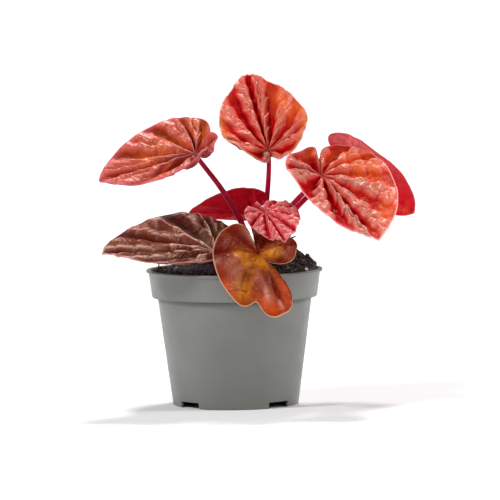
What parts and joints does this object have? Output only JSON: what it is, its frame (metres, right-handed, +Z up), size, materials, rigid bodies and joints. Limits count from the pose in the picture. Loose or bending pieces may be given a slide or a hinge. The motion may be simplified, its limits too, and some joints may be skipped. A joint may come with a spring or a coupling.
{
  "type": "potted ripple peperomia",
  "caption": "Small houseplant in a round tapered nursery pot: heart-shaped, deeply rippled red, bronze and amber leaves on slender crimson stalks above dark soil.",
  "frame": {"origin": "centre of the flat middle pad under the pot's floor, on the surface that the pot stands on", "axes": "+Z up along the pot's axis; -Y towards the front, where the amber leaf hangs over the rim; +X to the viewer's right"},
  "size_m": [0.1617, 0.1049, 0.1681],
  "materials": {
    "pot": "satin grey-green moulded plastic",
    "soil": "rough dark peat crumb",
    "crown": "matte scaly stem",
    "petiole": "smooth, slightly glossy stalk",
    "red_leaf": "glossy, deeply puckered leaf",
    "bronze_leaf": "glossy, deeply puckered leaf",
    "amber_leaf": "glossy, softly waved leaf"
  },
  "bodies": {
    "root": {"pot": "pot", "soil": "soil", "crown": "crown", "petiole_left": "petiole", "petiole_top": "petiole", "petiole_right": "petiole", "petiole_shaded": "petiole", "petiole_rear": "petiole", "petiole_young": "petiole", "petiole_bronze": "petiole", "petiole_front": "petiole", "blade_left": "red_leaf", "blade_top": "red_leaf", "blade_right": "red_leaf", "blade_shaded": "red_leaf", "blade_rear": "red_leaf", "blade_young": "red_leaf", "blade_bronze": "bronze_leaf", "blade_front": "amber_leaf"}
  },
  "joints": []
}
